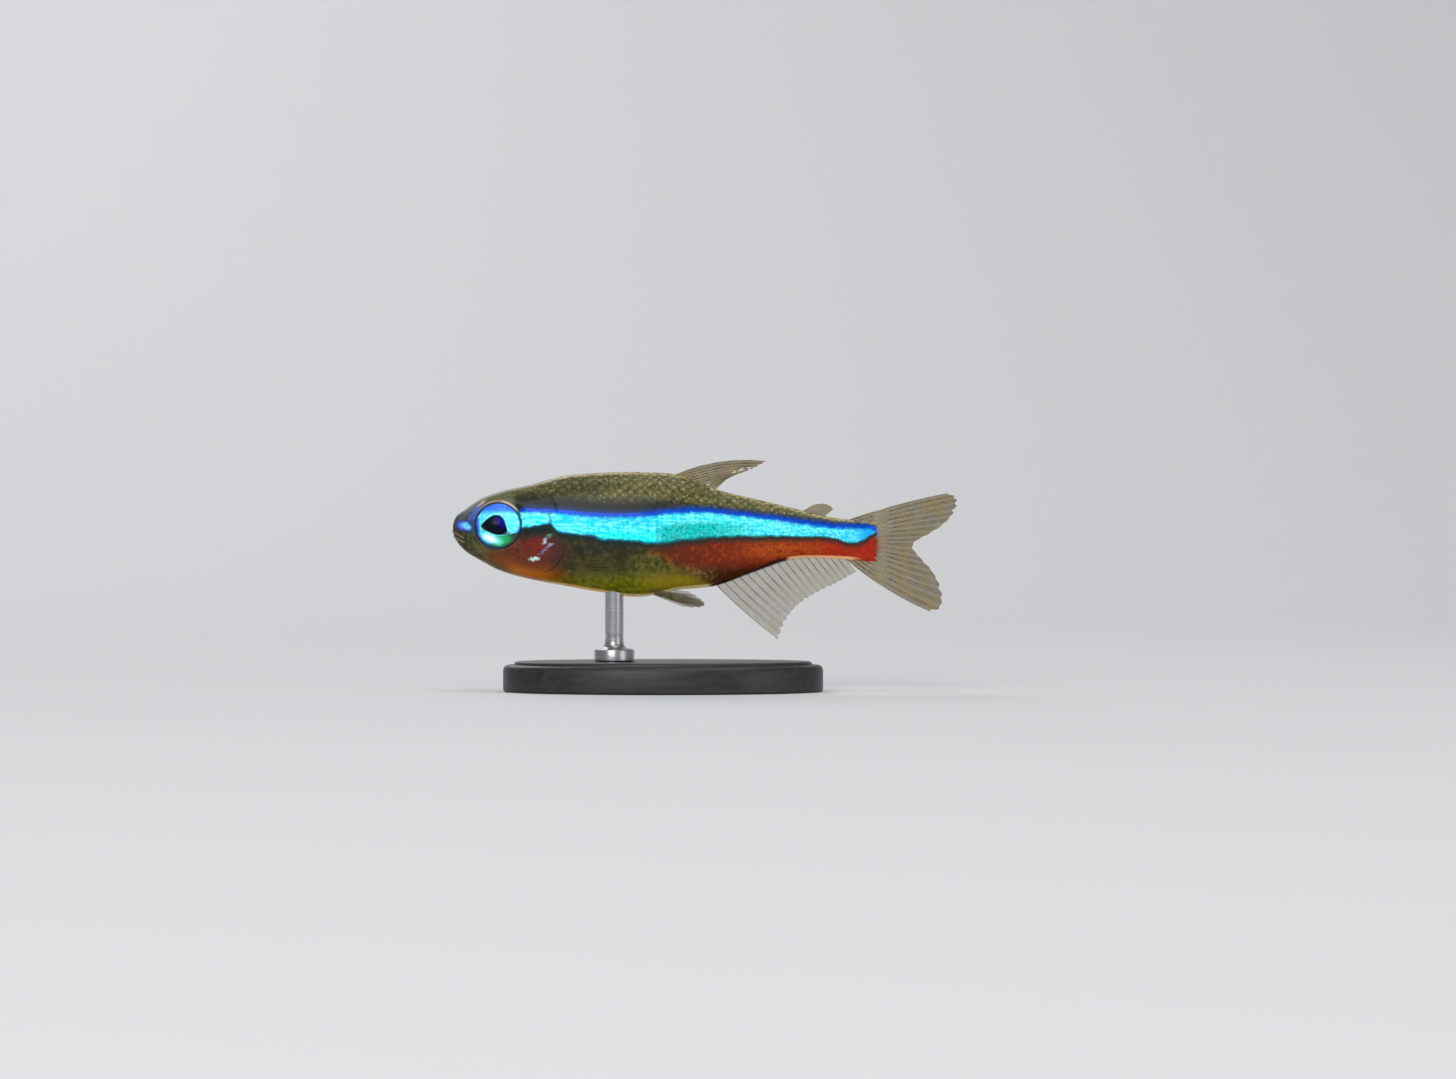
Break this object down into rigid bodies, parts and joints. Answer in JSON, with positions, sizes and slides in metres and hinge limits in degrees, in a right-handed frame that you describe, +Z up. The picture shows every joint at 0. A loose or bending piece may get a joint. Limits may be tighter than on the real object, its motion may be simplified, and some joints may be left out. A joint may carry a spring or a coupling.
{
  "type": "green neon tetra display model",
  "caption": "Life-size still model of a slim freshwater tetra with a forked tail and a folded back fin, held level over an oval base by a slim rod.",
  "frame": {"origin": "underside of the base, below the middle of the fish's overall length", "axes": "+X towards the tip of the tail, -Y out of the fish's left side, +Z up"},
  "size_m": [0.0301, 0.0112, 0.0137],
  "materials": {
    "skin": "smooth painted skin with fine scales: olive back, blue-green stripe, yellow-green belly, red rear",
    "fins": "thin clear olive membranes with fine rays",
    "eyes": "polished, blue-green iris round a black pupil",
    "base": "satin black",
    "rod": "turned and satin polished"
  },
  "bodies": {
    "root": {"head": "skin", "lower_jaw": "skin", "gill_cover_left": "skin", "gill_cover_right": "skin", "trunk": "skin", "tail": "skin", "dorsal_fin": "fins", "adipose_fin": "fins", "caudal_fin": "fins", "anal_fin": "fins", "pelvic_fin_left": "fins", "pelvic_fin_right": "fins", "pectoral_fin_left": "fins", "pectoral_fin_right": "fins", "eye_left": "eyes", "eye_right": "eyes", "stand_base": "base", "stand_rod": "rod"}
  },
  "joints": []
}
